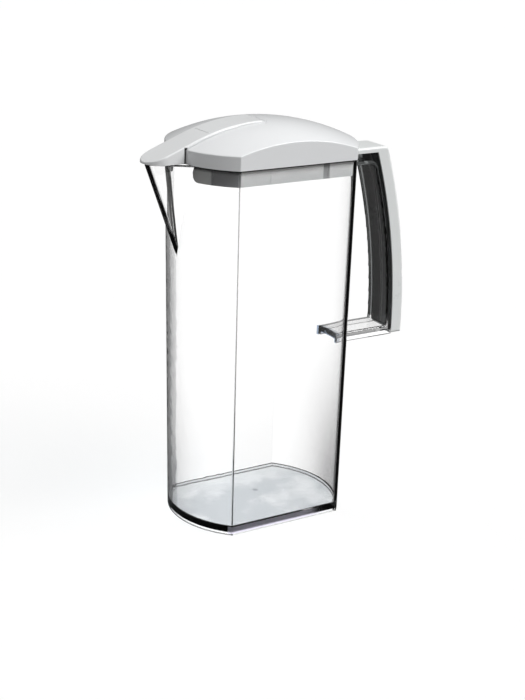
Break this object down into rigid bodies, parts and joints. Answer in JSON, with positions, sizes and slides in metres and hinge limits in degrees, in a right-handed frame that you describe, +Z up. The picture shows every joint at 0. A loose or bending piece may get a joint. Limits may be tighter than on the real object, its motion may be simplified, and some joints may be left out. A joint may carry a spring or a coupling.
{
  "type": "plastic pitcher",
  "caption": "Tall clear two litre pitcher with flat sides, a V spout, a handle with an opaque cover, and a domed lid with a plug and a hinged spout flap.",
  "frame": {"origin": "on the standing plane, midway along the two flat sides of the jug", "axes": "+Z up; X along the pouring direction, with the spout at -X and the handle at +X; Y across, the jug being mirrored about Y = 0"},
  "size_m": [0.201, 0.0888, 0.2706],
  "materials": {
    "clear_jug": "clear, polished, slightly cool",
    "white_handle": "satin moulded white",
    "white_lid": "satin moulded white",
    "white_flap": "satin moulded white",
    "grey_plug": "fine matte, greyer than the cover"
  },
  "bodies": {
    "jug": {"jug_body": "clear_jug", "handle_cover": "white_handle"},
    "lid": {"lid_cover": "white_lid", "lid_plug": "grey_plug"},
    "flap": {"spout_flap": "white_flap"}
  },
  "joints": [
    {"name": "lid_lift", "type": "slide", "parent": "jug", "child": "lid", "axis": [0, 0, 1], "range_m": [0, 0.15]},
    {"name": "flap_hinge", "type": "hinge", "parent": "lid", "child": "flap", "pos_m": [-0.0077, 0, 0.2682], "axis": [0, 1, 0], "range_deg": [0, 95]}
  ]
}
